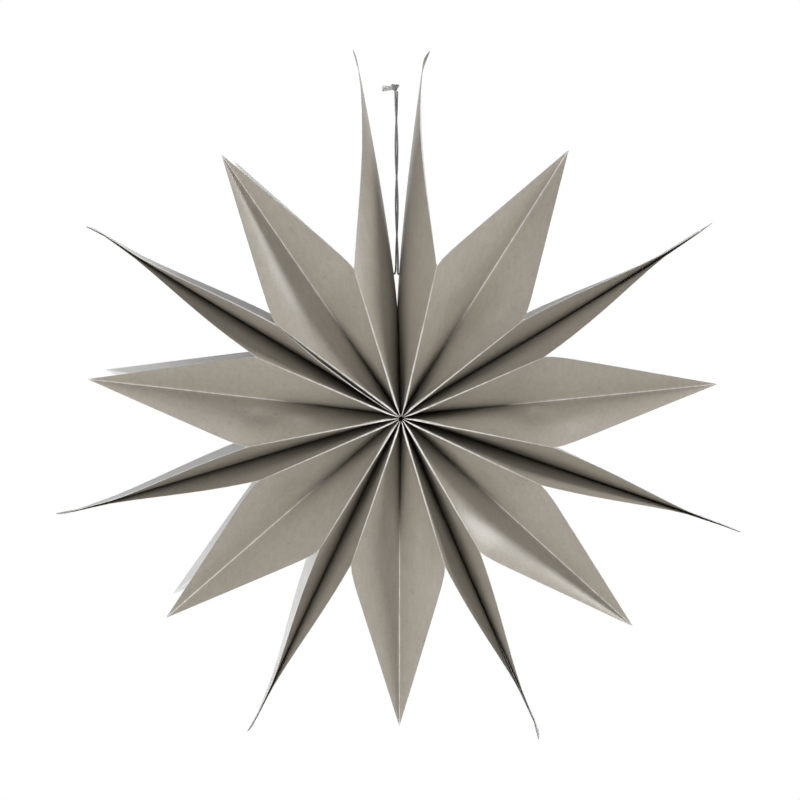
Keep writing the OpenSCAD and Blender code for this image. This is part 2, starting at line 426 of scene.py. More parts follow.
@dataclass(frozen=True)
class StarSizes:
    """Sizes of the star, in metres and degrees."""

    spike_len: float = 0.303
    spike_more: Row = (0.0026, 0.0055, 0.0028, -0.0012, -0.0030, 0, 0.0042, 0.0052)
    ridge_len: float = 0.126
    leaf_len: float = 0.256
    leaf_more: Row = (0.0035, 0.0070, 0.0040, 0.0016, 0.0003, 0.0040, 0.0052)
    half_depth: float = 0.0625
    paper_t: float = 0.0003
    glue_gap: float = 0.0001
    gusset_depth: float = 0.048
    crease_rise: float = 0.033
    leaf_ease: float = 0.016
    bag_count: int = 7
    bag_pitch_deg: float = 48.1
    joint_axis_deg: float = 180.7
    gap_axis_deg: float = -1.6
    ridge_gap_deg: float = 14.0
    end_ridge_deg: float = 15.3
    end_spread: float = 0.0285
    end_part_r: float = 0.088
    end_bend_power: float = 1.3
    end_flare_power: float = 2.1
    star_twist_deg: float = 1.1
    joint_drift_deg: Row = (-0.8, 0.3, 0.4, 1.1, 0.5, -0.5)
    joint_lean_deg: Row = (-1.1, 0.2, -0.7, -0.6, 0.1, 0.8)
    lean_power: float = 2.0
    ridge_drift_deg: Row = (1.4, 0.5, -0.2, -1.2, -1.1, -0.2)
    leaf_drift_deg: Row = (-0.3, 0, -0.6, -1, 0.3, 0.7, 0.9)
    glue_strip_share: float = 0.25
    flare_power: float = 1.5
    strip_loose: float = 0.025
    rear_leaf_deg: Row = (0, 0, 0, 0, 0.8, 0.2, 0)
    rear_ridge_deg: tuple[tuple[float, float], ...] = (
        (0.6, -1.1), (0, 0), (0, 0), (0, 0), (1.9, 0), (0, 0), (0, -0.9))
    hub_r: float = 0.003
    hub_shares: Row = (0.5, 0.85, 0.7, 1.0, 0.9, 0.75, 0.45)
    hub_pinch_r: float = 0.0004
    hub_pinch_share: float = 0.8
    bottom_seam: float = 0.005
    gap_wave: float = 0.0005
    gap_wave_share: float = 0.3
    bulge_power: float = 0.62
    bulge_from: float = 0.070
    bulge_to: float = 0.118
    bend: float = 0.0035
    bend_shares: tuple[tuple[float, float], ...] = (
        (0.5, 0.2), (0.2, 0.6), (0.1, 0.9), (0.2, 0.6), (0.2, 0.2), (0.4, 0.2), (1.0, 0.1))
    bend_tip_share: float = 0.02
    dents: tuple[Dent, ...] = (
        Dent(0, Hand.BEFORE, 0.100, 0.35, -0.0020), Dent(0, Hand.AFTER, 0.120, 0.45, 0.0018),
        Dent(1, Hand.AFTER, 0.110, 0.33, -0.0042), Dent(1, Hand.AFTER, 0.145, 0.40, 0.0015),
        Dent(2, Hand.BEFORE, 0.085, 0.32, -0.0026), Dent(3, Hand.BEFORE, 0.100, 0.40, 0.0018),
        Dent(3, Hand.AFTER, 0.092, 0.35, -0.0020), Dent(4, Hand.AFTER, 0.110, 0.40, -0.0020),
        Dent(5, Hand.BEFORE, 0.084, 0.35, 0.0034), Dent(5, Hand.BEFORE, 0.118, 0.40, -0.0022),
        Dent(6, Hand.AFTER, 0.100, 0.28, -0.0020))
    ridge_thin_hub: float = 0.7
    ridge_thin_power: float = 1.5
    ridge_thins: float = 0.070
    ridge_fade: float = 0.0006
    ridge_pale_len: float = 0.032
    ridge_pale_hub: float = 0.88
    ridge_pale_end: float = 0.42
    crease_seen: Row = (0.066, 0.090, 0.062, 0.078, 0.058, 0.070, 0.060)
    hub: Triple = (0.0034, 0.0, -0.271)
    tie_r: float = 0.118
    tie_hole_d: float = 0.0034
    tip_hook: float = 0.0043
    tip_bend: float = 0.010
    tip_hook_shares: Row = (1, 0, 0.2, 0.8, 0.5, 0.5, -0.5, -0.4)
    slit_bag: int = 6
    slit_w: float = 0.0033
    slit_from: float = 0.045
    slit_power: float = 0.7
    slit_end_share: float = 0.25
    slit_depth: float = 0.016
    slit_lip_share: float = 0.2
    bead_r: float = 0.0007
    bead_end_r: float = 0.0002
    bead_rise: float = 0.06
    bead_fade: float = 0.016

    def end_lean(self, d: Any) -> Any:
        """Angle by which an end panel leans out of the gap at a distance from the hub."""
        past = np.maximum(0, np.asarray(d) - self.end_part_r) / (self.spike_len - self.end_part_r)
        return np.degrees(np.arcsin(self.end_spread * past ** self.end_bend_power / d))

    def is_end(self, joint: int) -> bool:
        """Whether a joint is the open edge of an end panel."""
        return joint in (0, self.bag_count)

    def joint_foot_deg(self, joint: int) -> float:
        """Angle of a glued joint at the hub."""
        place = (joint - self.bag_count / 2) * self.bag_pitch_deg
        return self.joint_axis_deg + place + self.joint_drift_deg[joint - 1]

    def joint_deg(self, joint: int, d: Any) -> Any:
        """Angle of a joint's centre line.

        Args:
            joint: The joint, from 0 to the count of bags.
            d: Distance from the hub.

        Returns:
            The angle at that distance.
        """
        if joint == 0:
            return self.gap_axis_deg + self.end_lean(d)
        if joint == self.bag_count:
            return 360 + self.gap_axis_deg - self.end_lean(d)
        lean = self.joint_lean_deg[joint - 1] * (np.asarray(d) / self.spike_len) ** self.lean_power
        return self.joint_foot_deg(joint) + lean

    def ridge_deg(self, joint: int, inward: int) -> float:
        """Angle of a ridge beside a joint.

        Args:
            joint: The joint.
            inward: 1 for the ridge on its clockwise side, -1 for the other.

        Returns:
            The angle.
        """
        if self.is_end(joint):
            return self.gap_axis_deg + (360 if joint else 0) + inward * self.end_ridge_deg
        opening = self.ridge_gap_deg + self.ridge_drift_deg[joint - 1]
        return self.joint_foot_deg(joint) + inward * opening / 2

    def spike_end(self, joint: int) -> float:
        """Length of the spike at a joint, as its own cut left it."""
        return self.spike_len + self.spike_more[joint]

    def hook_shift(self, joint: int, d: Any) -> Any:
        """How far a spike's bent tip is turned aside."""
        bent = np.maximum(0, np.asarray(d) - self.spike_end(joint) + self.tip_bend) / self.tip_bend
        return self.tip_hook * self.tip_hook_shares[joint] * bent ** 2

    def slit_deg(self, d: Points) -> Points:
        """Angle by which a panel stands off its front ridge where the fold has come open."""
        wide = self.slit_w * np.minimum(1, d / self.slit_from) ** self.slit_power
        return np.degrees(wide * np.clip((self.ridge_len - d) / self.slit_from, self.slit_end_share, 1) / d)


@dataclass(frozen=True)
class Layer:
    """One face of a bag's paper: where it begins at the hub, and whether it is the inner face."""

    start: float
    inner: bool

    def reach(self, along: Points, end: Any) -> Points:
        """Distance from the hub at places along the way from the start to an end."""
        return self.start + along * (end - self.start)


@dataclass
class PaperBag:
    """One folded bag: panel, front gusset, panel, rear gusset, closed at the hub and cut to points."""

    sizes: StarSizes
    index: int
    panel_n: int = 11
    gusset_n: int = 9
    row_n: int = 44
    row_power: float = 1.15
    row_end: float = 0.935
    hole_sides: int = 28
    fold_steps: Row = (0.0004, 0.0009, 0.0018, 0.0036)
    bead_steps: Row = (0.25, 0.5, 0.75, 1.0, 1.3, 2.0, 3.5, 6.0)
    tip_rows: Row = (0.955, 0.968, 0.978, 0.987, 0.994, 1.0)

    @property
    def node(self) -> str:
        """Name of the bag's node."""
        return f"paper_bag_{self.index + 1}"

    @property
    def is_slit(self) -> bool:
        """Whether the fold of one ridge has come open."""
        return self.index == self.sizes.slit_bag

    @property
    def leaf_len(self) -> float:
        """Length of the leaf, as its own cut left it."""
        return self.sizes.leaf_len + self.sizes.leaf_more[self.index]

    def half_span(self) -> float:
        """Half the angle between the bag's two ridges."""
        s = self.sizes
        return (s.ridge_deg(self.index + 1, -1) - s.ridge_deg(self.index, 1)) / 2

    def leaf_drift_deg(self, face: Face) -> float:
        """Angle of the leaf's crease out of the middle between the front ridges."""
        rear = self.sizes.rear_leaf_deg[self.index] if face is Face.REAR else 0
        return self.sizes.leaf_drift_deg[self.index] + rear

    def leaf_deg(self, face: Face = Face.FRONT) -> float:
        """Angle of the leaf's crease on one face of the star."""
        return self.sizes.ridge_deg(self.index, 1) + self.half_span() + self.leaf_drift_deg(face)

    def rear_turn_deg(self, hand: Hand) -> float:
        """Angle by which a rear ridge is turned clockwise from the front one."""
        return self.sizes.rear_ridge_deg[self.index][hand.place]

    def side_span(self, hand: Hand, face: Face) -> float:
        """Angle between the crease and the ridge on one side of the leaf, in radians."""
        turn = self.rear_turn_deg(hand) if face is Face.REAR else 0
        return math.radians(self.half_span() - hand.value * (self.leaf_drift_deg(face) - turn))

    def along_shares(self) -> Points:
        """Places along the bag, from the hub to the cut, as a column."""
        body = np.linspace(0, 1, self.row_n) ** self.row_power * self.row_end
        return np.concatenate([body, self.tip_rows])[:, None]

    def panel_shares(self) -> Points:
        """Places across a panel, from the rear ridge to the front ridge.

        Returns:
            The places as shares of the half depth.
        """
        steps = np.array(self.fold_steps) / self.sizes.half_depth
        half = np.concatenate([np.linspace(0, 1 - steps[-1], self.panel_n), 1 - steps[-2::-1], [1]])
        return np.concatenate([-half[:0:-1], half])

    def gusset_shares(self) -> Points:
        """Places across half a gusset, from the ridge to the crease.

        Returns:
            The places as shares of the gusset's depth.
        """
        s = self.sizes
        steps = np.array(self.fold_steps) / s.gusset_depth
        bead = np.array(self.bead_steps) * np.pi * s.bead_r / s.gusset_depth
        return np.concatenate([[0], bead[:-1], np.linspace(bead[-1], 1 - steps[-1], self.gusset_n),
                               1 - steps[-2::-1], [1]])

    def widening(self, d: Points) -> Points:
        """How far out the gusset still widens at a distance from the hub."""
        past = np.clip(d - self.sizes.ridge_len, 0, self.sizes.leaf_ease)
        return np.minimum(d, self.sizes.ridge_len) + past - past ** 2 / (2 * self.sizes.leaf_ease)

    def crease_depth(self, d: Points) -> Points:
        """Depth of the crease before the middle of the star."""
        s = self.sizes
        return s.half_depth - s.gusset_depth + s.crease_rise / s.leaf_len * d

    def fold_angle(self, d: Points) -> Points:
        """Angle between half a gusset and the star's axis, in radians."""
        rise = self.sizes.half_depth - self.crease_depth(np.minimum(d, self.sizes.ridge_len))
        return np.arctan2(self.widening(d) * math.sin(math.radians(self.half_span())), rise)

    def bulge(self, hand: Hand, d: Points, place: Points) -> Points:
        """How far half a gusset bends forward out of its plane.

        Args:
            hand: The leaf's side.
            d: Distance from the hub.
            place: Place across the half, from 0 at the crease to 1 at the ridge.

        Returns:
            The distance: a steep fold by the hub, a soft bend along the leaf.
        """
        s = self.sizes
        past = np.clip((d - s.bulge_from) / (s.bulge_to - s.bulge_from), 0, 1)
        opened = past ** 2 * (3 - 2 * past)
        depth = s.half_depth - self.crease_depth(np.minimum(self.widening(d), s.ridge_len))
        power = s.bulge_power + (1 - s.bulge_power) * opened
        share = s.bend_shares[self.index][hand.place]
        cut = np.clip((self.leaf_len - d) / (self.leaf_len - s.ridge_len), s.bend_tip_share, 1)
        soft = s.bend * share * opened * cut * np.sin(np.pi * np.clip(place / cut, 0, 1))
        for dent in s.dents:
            if (dent.bag, dent.hand) == (self.index, hand):
                soft = soft + dent.push(d, place)
        return depth * (place ** power - place) + soft

    def ridge_inset(self, d: Points) -> Points:
        """How far below a ridge the inner faces of the fold meet."""
        turn = self.fold_angle(d)
        return self.sizes.paper_t * (1 + np.cos(turn)) / np.sin(turn)

    def flare(self, joint: int, share: Points) -> Points:
        """Bend of a panel beside its glued strip.

        Args:
            joint: The panel's joint.
            share: Place across the panel.

        Returns:
            The bend, from 0 at the strip to 1 at the ridge.
        """
        s = self.sizes
        if s.is_end(joint):
            return np.abs(share) ** s.end_flare_power
        beyond = np.maximum(0, np.abs(share) - s.glue_strip_share) / (1 - s.glue_strip_share)
        loose = np.minimum(1, np.abs(share) / s.glue_strip_share)
        return s.strip_loose * loose + (1 - s.strip_loose) * beyond ** s.flare_power

    def panel(self, inward: int, layer: Layer) -> tuple[Points, Points]:
        """Points of one panel, from its rear ridge to its front ridge.

        Args:
            inward: 1 for the panel before the leaf, -1 for the one after it.
            layer: The face of the paper.

        Returns:
            The points and their fold attributes, with a row for each place along the bag.
        """
        s, along = self.sizes, self.along_shares()
        joint = self.index if inward > 0 else self.index + 1
        inset = self.ridge_inset(layer.reach(along, s.ridge_len)) if layer.inner else 0 * along
        share = self.panel_shares()[None, :] * (1 - inset / s.half_depth)
        cut = s.spike_end(joint) - (s.spike_end(joint) - s.ridge_len) * np.abs(share)
        # The middle of the bag is pinched together at the hub.
        pinch = np.clip(1 - np.abs(share) / s.hub_pinch_share, 0, 1)
        begin = layer.start - max(0, min(layer.start, s.hub_r) - s.hub_pinch_r) * pinch
        d = begin + along * (cut - begin)
        centre = s.joint_deg(joint, d)
        turn = self.rear_turn_deg(Hand.BEFORE if inward > 0 else Hand.AFTER)
        ridge = s.ridge_deg(joint, inward) + turn * (share < 0)
        if self.is_slit and inward > 0 and not layer.inner:
            ridge = ridge - s.slit_deg(d) * (share > 0)
        deg = centre + (ridge - centre) * self.flare(joint, share)
        aside = inward * (s.glue_gap / 2 + (s.paper_t if layer.inner else 0)) + s.hook_shift(joint, d)
        place = share / s.gap_wave_share
        aside = aside + s.gap_wave * np.sin(np.pi * place) * np.exp(-place ** 2)
        points = d[..., None] * out_dir(deg) + aside[..., None] * side_dir(deg)
        points[..., 1] -= share * s.half_depth
        ridge_far = (1 - np.abs(self.panel_shares()))[None, :] * s.half_depth + 0 * along
        lean = s.half_depth / math.hypot(s.half_depth, s.spike_end(joint) - s.ridge_len)
        return points, self.folds(ridge_far, ridge_far + s.gusset_depth, (cut - d) * lean, d, layer.inner)

    def gusset(self, hand: Hand, face: Face, layer: Layer) -> tuple[Points, Points]:
        """Points of half a gusset, from the ridge to the crease.

        Args:
            hand: The leaf's side.
            face: The star's face.
            layer: The face of the paper.

        Returns:
            The points and their fold attributes, with a row for each place along the bag.
        """
        s, along = self.sizes, self.along_shares()
        span = self.side_span(hand, face)
        leaf = self.leaf_deg(face)
        low, past, depth_in = 0 * along, 0 * along, 0.0
        if layer.inner:
            low = self.ridge_inset(layer.reach(along, s.ridge_len)) / s.gusset_depth
            past = s.paper_t / np.tan(self.fold_angle(layer.reach(along, self.leaf_len))) / s.gusset_depth
            depth_in = s.paper_t
        turn_share = np.pi * s.bead_r / s.gusset_depth
        flat = np.maximum(0, self.gusset_shares()[None, :] - turn_share) / (1 - turn_share) + 0 * along
        share = low + (1 + past - low) * flat
        cut = s.ridge_len + (self.leaf_len - s.ridge_len) * np.minimum(share, 1)
        d = layer.reach(along, cut)
        wide = self.widening(d)
        turn = self.fold_angle(d)
        lean = math.cos(math.atan(s.crease_rise / s.leaf_len))
        across = hand.value * ((1 - share) * wide * math.sin(span) + depth_in * np.cos(turn))
        out = d * lean - (1 - share) * wide * (lean - math.cos(span))
        rise = (1 - share) * (s.half_depth - self.crease_depth(np.minimum(wide, s.ridge_len)))
        rise = rise + self.bulge(hand, d, np.clip(np.abs(across) / (wide * math.sin(span)), 0, 1))
        inward, forward = self.bead(d, flat * s.gusset_depth)
        across = across - hand.value * inward
        points = out[..., None] * out_dir(leaf) + across[..., None] * side_dir(leaf)
        points[..., 1] -= face.value * (self.crease_depth(d) + rise - depth_in * np.sin(turn) + forward)
        slope = s.gusset_depth / math.hypot(s.gusset_depth, self.leaf_len - s.ridge_len)
        crease_far = np.hypot((1 - flat) * s.gusset_depth, np.maximum(0, s.crease_seen[self.index] - d))
        return points, self.folds(flat * s.gusset_depth, crease_far, (cut - d) * slope, d, layer.inner)

    def bead(self, d: Points, far: Points) -> tuple[Points, Points]:
        """Roundness of a ridge, where the folded paper turns over.

        Args:
            d: Distance from the hub.
            far: Distance from the ridge past the turn, across the half gusset.

        Returns:
            How far each point moves towards the crease and forward.
        """
        s = self.sizes
        out = np.clip(d / s.ridge_len, 0, 1)
        radius = np.minimum(s.bead_r + (s.bead_end_r - s.bead_r) * out ** 2, s.bead_rise * d)
        turn = np.pi * np.clip(self.gusset_shares() * s.gusset_depth / (np.pi * s.bead_r), 0, 1)[None, :]
        fade = np.clip(1 - far / s.bead_fade, 0, 1) ** 2
        return radius * (1 - np.cos(turn)) * fade, radius * np.sin(turn)

    def folds(self, ridge: Points, crease: Points, cut: Points, d: Points, inner: bool) -> Points:
        """Gathers the fold attributes of one part.

        Args:
            ridge: Distance from the ridge.
            crease: Distance from the crease's visible stretch.
            cut: Distance from the cut.
            d: Distance from the hub.
            inner: Whether this is the inner face.

        Returns:
            The attributes, one for each kind of Fold; the ridge's pale line thins and fades outwards.
        """
        s = self.sizes
        thin = s.ridge_thin_hub + (d / s.ridge_thins) ** s.ridge_thin_power
        fade = s.ridge_fade * np.minimum(1, d / s.ridge_len) ** 2
        near = np.exp(-(d / s.ridge_pale_len) ** 2)
        pale = s.ridge_pale_end + (s.ridge_pale_hub - s.ridge_pale_end) * near
        return np.stack([ridge * thin + fade, crease, cut, np.full_like(d, float(inner)), pale], -1)

    def skin(self, layer: Layer) -> tuple[Points, Points]:
        """One face of the whole bag, as rings that begin and end at the front ridge before the leaf.

        Args:
            layer: The face of the paper.

        Returns:
            Points and fold attributes by row and place; the last place of a row is the first one again.
        """
        parts = [(self.gusset(Hand.BEFORE, Face.FRONT, layer), 1),
                 (self.gusset(Hand.AFTER, Face.FRONT, layer), -1),
                 (self.panel(-1, layer), -1),
                 (self.gusset(Hand.AFTER, Face.REAR, layer), 1),
                 (self.gusset(Hand.BEFORE, Face.REAR, layer), -1),
                 (self.panel(1, layer), 1)]
        points, fold = (
            np.concatenate([part[kind][:, ::step][:, min(i, 1):] for i, (part, step) in enumerate(parts)], 1)
            for kind in range(2))
        return points, fold

    def build(self) -> Object:
        """Builds the bag's mesh with both faces, its cut edge and its seam at the hub.

        Returns:
            The mesh object, in the star's frame.
        """
        s = self.sizes
        skins = [self.skin(Layer(s.hub_r * s.hub_shares[self.index], inner=False)),
                 self.skin(Layer(s.hub_r + s.bottom_seam, inner=True))]
        if self.is_slit:
            skins = [self.grooved(*skin, depth) for skin, depth in zip(skins, (s.slit_depth, s.paper_t))]
        else:
            skins = [(points[:, :-1], fold[:, :-1]) for points, fold in skins]
        rows, places = skins[0][0].shape[:2]
        base, rim = rows * places, (rows - 1) * places
        faces = [face for first in (0, base) for row in range(rows - 1)
                 for face in band(first + row * places, first + (row + 1) * places, places)]
        faces += band(rim, base + rim, places)
        for first, (points, _) in zip((0, base), skins):
            faces += [tuple(first + i for i in face) for face in self.seam(points[0])]
        sharp = [frozenset((first + rim + i, first + rim + (i + 1) % places))
                 for first in (0, base) for i in range(places)]
        if self.is_slit:
            # The groove's edges run along the first place of each row and the last four.
            sharp += [frozenset((row * places + i, (row + 1) * places + i))
                      for row in range(rows - 1) for i in (0, *range(places - 4, places))]
        # The whole star is twisted about the hub line from front to rear.
        x, y, z = np.concatenate([points.reshape(-1, 3) for points, _ in skins]).T
        turn = np.radians(s.star_twist_deg) * y / (2 * s.half_depth)
        points = np.stack([x * np.cos(turn) + z * np.sin(turn), y, z * np.cos(turn) - x * np.sin(turn)], 1)
        made = mesh_object(self.node + "_sheet", points + np.array(s.hub), faces, sharp)
        for column, kind in enumerate(Fold):
            store(made, kind.value, np.concatenate([fold[..., column].ravel() for _, fold in skins]))
        for joint in {self.index, self.index + 1} & {0, s.bag_count}:
            self.pierce(made, joint)
        return made

    def grooved(self, points: Points, fold: Points, depth: float) -> tuple[Points, Points]:
        """Closes a skin whose ridge has come open by a groove behind its two edges.

        Args:
            points: The skin's points; the first and last places are the two edges.
            fold: Their fold attributes.
            depth: Depth of the groove.

        Returns:
            The points and attributes with the lip and the groove's bottom as three more places.
        """
        back = np.array([0, depth, 0])
        deep = np.array([float(kind is Fold.RIDGE) for kind in Fold])
        edge, ridge = points[:, -1:], points[:, :1]
        lip = edge + self.sizes.slit_lip_share * (ridge - edge)
        return (np.concatenate([points, lip, lip + back, ridge + back], 1),
                np.concatenate([fold, fold[:, -1:], fold[:, -1:] + deep, fold[:, :1] + deep], 1))

    def pierce(self, piece: Object, joint: int) -> None:
        """Cuts the round tie hole through an end panel.

        Args:
            piece: The bag's object.
            joint: The end panel's joint.
        """
        s, sides = self.sizes, self.hole_sides
        deg = float(s.joint_deg(joint, s.tie_r))
        centre = np.array(s.hub) + s.tie_r * out_dir(deg)
        turn = 2 * np.pi * np.arange(sides)[:, None] / sides
        ring = (np.cos(turn) * out_dir(deg) + np.sin(turn) * np.array([0, 1, 0])) * s.tie_hole_d / 2
        ends = [centre + ring + hand.value * s.tie_hole_d * side_dir(deg) for hand in Hand]
        caps = [tuple(range(sides)), tuple(range(sides, 2 * sides))]
        cutter = mesh_object("hole", np.concatenate(ends), band(0, sides, sides) + caps)
        cut = piece.modifiers.new("hole", "BOOLEAN")
        cut.operation = "DIFFERENCE"
        cut.solver = "EXACT"
        cut.object = cutter
        bpy.context.view_layer.update()
        seen = piece.evaluated_get(bpy.context.evaluated_depsgraph_get())
        pierced = bpy.data.meshes.new_from_object(seen)
        piece.modifiers.clear()
        piece.data = pierced
        bpy.data.objects.remove(cutter)

    def seam(self, ring: Points) -> list[Sequence[int]]:
        """Triangles that close the bag across a ring at the hub."""
        flat = [Vector((a, y, 0)) for a, y in zip(ring @ side_dir(self.leaf_deg()), ring[:, 1])]
        return [tuple(face) for face in tessellate_polygon([flat])]


@dataclass
class Star:
    """The ring of glued bags."""

    sizes: StarSizes = field(default_factory=StarSizes)
    finish: PaperFinish = field(default_factory=PaperFinish)

    def build(self) -> None:
        """Builds and dresses every bag."""
        material = self.finish.material()
        for index in range(self.sizes.bag_count):
            bag = PaperBag(self.sizes, index)
            dress(bag.build(), material, bag.node)


class Mesh:
    """Points and faces that grow piece by piece, with one number for each point."""

    SKEW: ClassVar[Triple] = (0.3, 0.9, 0.2)

    def __init__(self) -> None:
        """Starts empty."""
        self.points: list[Points] = []
        self.faces: list[Sequence[int]] = []
        self.marks: list[Points] = []
        self.count = 0

    def tube(self, path: Points, radius: Points, closed: bool = False, mark: float = 0.0) -> None:
        """Adds a tube.

        Args:
            path: Points of its centre line.
            radius: Its radius by place and side.
            closed: Whether its end joins its start.
            mark: The number that its points carry.
        """
        count, sides = radius.shape
        ahead = np.roll(path, -1, 0) - np.roll(path, 1, 0)
        if not closed:
            ahead[0], ahead[-1] = path[1] - path[0], path[-1] - path[-2]
        ahead /= np.linalg.norm(ahead, axis=1)[:, None]
        side = np.cross(ahead[0], self.SKEW)
        sides_at = np.empty_like(path)
        for i in range(count):
            side = side - (side @ ahead[i]) * ahead[i]
            side = side / np.linalg.norm(side)
            sides_at[i] = side
        over = np.cross(ahead, sides_at)
        turn = 2 * np.pi * np.arange(sides)[None, :, None] / sides
        ring = np.cos(turn) * sides_at[:, None] + np.sin(turn) * over[:, None]
        self.points.append((path[:, None] + radius[..., None] * ring).reshape(-1, 3))
        self.marks.append(np.full(count * sides, mark))
        base = self.count
        for i in range(count if closed else count - 1):
            self.faces += band(base + i * sides, base + (i + 1) % count * sides, sides)
        if not closed:
            for first in (base, base + (count - 1) * sides):
                self.faces.append(tuple(range(first, first + sides)))
        self.count += count * sides


def smooth_path(points: Points, step: float) -> Points:
    """Lays an even, smooth path through points.

    Args:
        points: The points that the path passes.
        step: About how far apart its places are.

    Returns:
        The path's places.
    """
    along = path_lengths(points)
    slope = np.gradient(points, along, axis=0)
    at = np.linspace(0, along[-1], int(along[-1] / step) + 1)
    i = np.clip(np.searchsorted(along, at, "right") - 1, 0, len(points) - 2)
    wide = (along[i + 1] - along[i])[:, None]
    t = (at - along[i])[:, None] / wide
    return ((1 + 2 * t) * (1 - t) ** 2 * points[i] + t * (1 - t) ** 2 * wide * slope[i]
            + t ** 2 * (3 - 2 * t) * points[i + 1] + t ** 2 * (t - 1) * wide * slope[i + 1])


@dataclass
class HangingCord:
    """Two strands laid round each other, the top knot with its frayed tail, and the stopper knots.

    Sizes without MM, those of the strands' ends, the top knot and its tail, are in millimetres.
    """

    names: tuple[str, str] = ("left", "right")
    strand_d: float = 1.5 * MM
    twist_len: float = 144 * MM
    twist_lean: float = 0.6 * MM
    twist_half_turns: int = 3
    twist_rings: int = 30
    twist_r: float = 0.85 * MM
    ends: tuple[tuple[Triple, ...], ...] = (
        ((-0.4, 0, -147.6), (-0.5, 0, -150), (-0.9, 0, -151.7), (-1.55, 0, -152.75), (-2.37, 0, -152.95)),
        ((1.45, 0, -147.6), (1.4, 0, -150.4), (1.4, 0, -152.1), (1.65, 0, -152.95), (2.32, 0, -153.1)))
    stopper_d: float = 5 * MM
    knot_clear: float = 0.15 * MM
    knot_centre: Triple = (-1.05, 0, 3.46)
    knot_half: Triple = (3.6, 2.3, 3.3)
    knot_round_shares: tuple[float, float] = (1.0, 0.62)
    knot_round_lifts: tuple[float, float] = (0.3, -0.3)
    tail_root: tuple[float, float] = (-2.4, 2.45)
    tail_end_x: float = -12.6
    tail_root_w: float = 3.2
    tail_w: float = 5.4
    tail_w_power: float = 1.3
    tail_t: float = 1.8
    tail_root_t_share: float = 0.7
    tail_fibres: int = 60
    tail_seed: int = 5
    fibre_r: float = 0.17 * MM
    fibre_taper: float = 0.45
    fibre_n: int = 12
    fibre_sides: int = 5
    fibre_len_shares: tuple[float, float] = (0.82, 1.0)
    fibre_fray_shares: tuple[float, float] = (0.6, 1.0)
    wave: float = 0.22
    wave_deep_share: float = 0.5
    wave_half_turns: tuple[float, float] = (0.8, 1.8)
    sides: int = 18
    step: float = 0.3 * MM
    loop_n: int = 120
    plies: int = 3
    lay_len: float = 5 * MM
    ply_depth: float = 0.16
    full_share: float = 1.08
    material: Material = field(init=False)
    finish: CordFinish = CordFinish(
        "grey_cord", dark=(0.09, 0.09, 0.088), pale=(0.30, 0.30, 0.295), frayed=(0.60, 0.60, 0.59))

    def route(self, hand: Hand) -> Points:
        """Route of one strand from the top knot down through its tie hole.

        Args:
            hand: The strand's side.

        Returns:
            The route's points, in metres.
        """
        along = np.arange(self.twist_rings + 1) / self.twist_rings
        turn = np.pi * self.twist_half_turns * along
        side = -hand.value
        twist = np.stack([along * self.twist_lean + side * self.twist_r * np.cos(turn),
                          side * self.twist_r * np.sin(turn), -along * self.twist_len], 1)
        return np.concatenate([twist, np.array(self.ends[hand.place]) * MM])

    def plied(self, path: Points, radius: float) -> Points:
        """Rounds a strand's plies.

        Args:
            path: The strand's path.
            radius: Its radius over the plies.

        Returns:
            The radius by place and side.
        """
        turn = 2 * np.pi * np.arange(self.sides)[None, :] / self.sides
        lay = 2 * np.pi * path_lengths(path)[:, None] / self.lay_len
        lobe = np.abs(np.cos(self.plies / 2 * (turn - lay)))
        return radius * (1 - self.ply_depth * (1 - lobe))

    def dressed(self, mesh: Mesh, node: str) -> Object:
        """Makes a piece of yarn.

        Args:
            mesh: Its mesh, with how far each point is frayed.
            node: The node that it replaces.

        Returns:
            The dressed piece.
        """
        piece = mesh_object(node + "_yarn", np.concatenate(mesh.points), mesh.faces)
        store(piece, CordFinish.FRAY, np.concatenate(mesh.marks))
        return dress(piece, self.material, node)

    def strand(self, hand: Hand) -> None:
        """Builds and dresses one strand.

        Args:
            hand: The strand's side.
        """
        path = smooth_path(self.route(hand), self.step)
        mesh = Mesh()
        mesh.tube(path, self.plied(path, self.strand_d / 2 * self.full_share))
        piece = self.dressed(mesh, "cord_strand_" + self.names[hand.place])

    def loop(self, half: Points) -> Points:
        """Closed line of an overhand knot round the origin.

        Args:
            half: Half sizes of the box that it fits in.

        Returns:
            The line's points.
        """
        t = 2 * np.pi * np.arange(self.loop_n) / self.loop_n
        line = np.stack([np.sin(t) + 2 * np.sin(2 * t), -np.sin(3 * t), np.cos(t) - 2 * np.cos(2 * t)], 1)
        return line / np.abs(line).max(0) * half

    def stopper(self, hand: Hand) -> None:
        """Builds and dresses the stopper knot on the end of a strand.

        Args:
            hand: The strand's side.
        """
        centre = self.route(hand)[-1] + np.array([hand.value * (self.stopper_d / 2 + self.knot_clear), 0, 0])
        half = np.full(3, self.stopper_d / 2 - self.strand_d / 2)
        path = centre + self.loop(half)[:, [1, 0, 2]]
        mesh = Mesh()
        mesh.tube(path, self.plied(path, self.strand_d / 2), closed=True)
        self.dressed(mesh, "stopper_knot_" + self.names[hand.place])

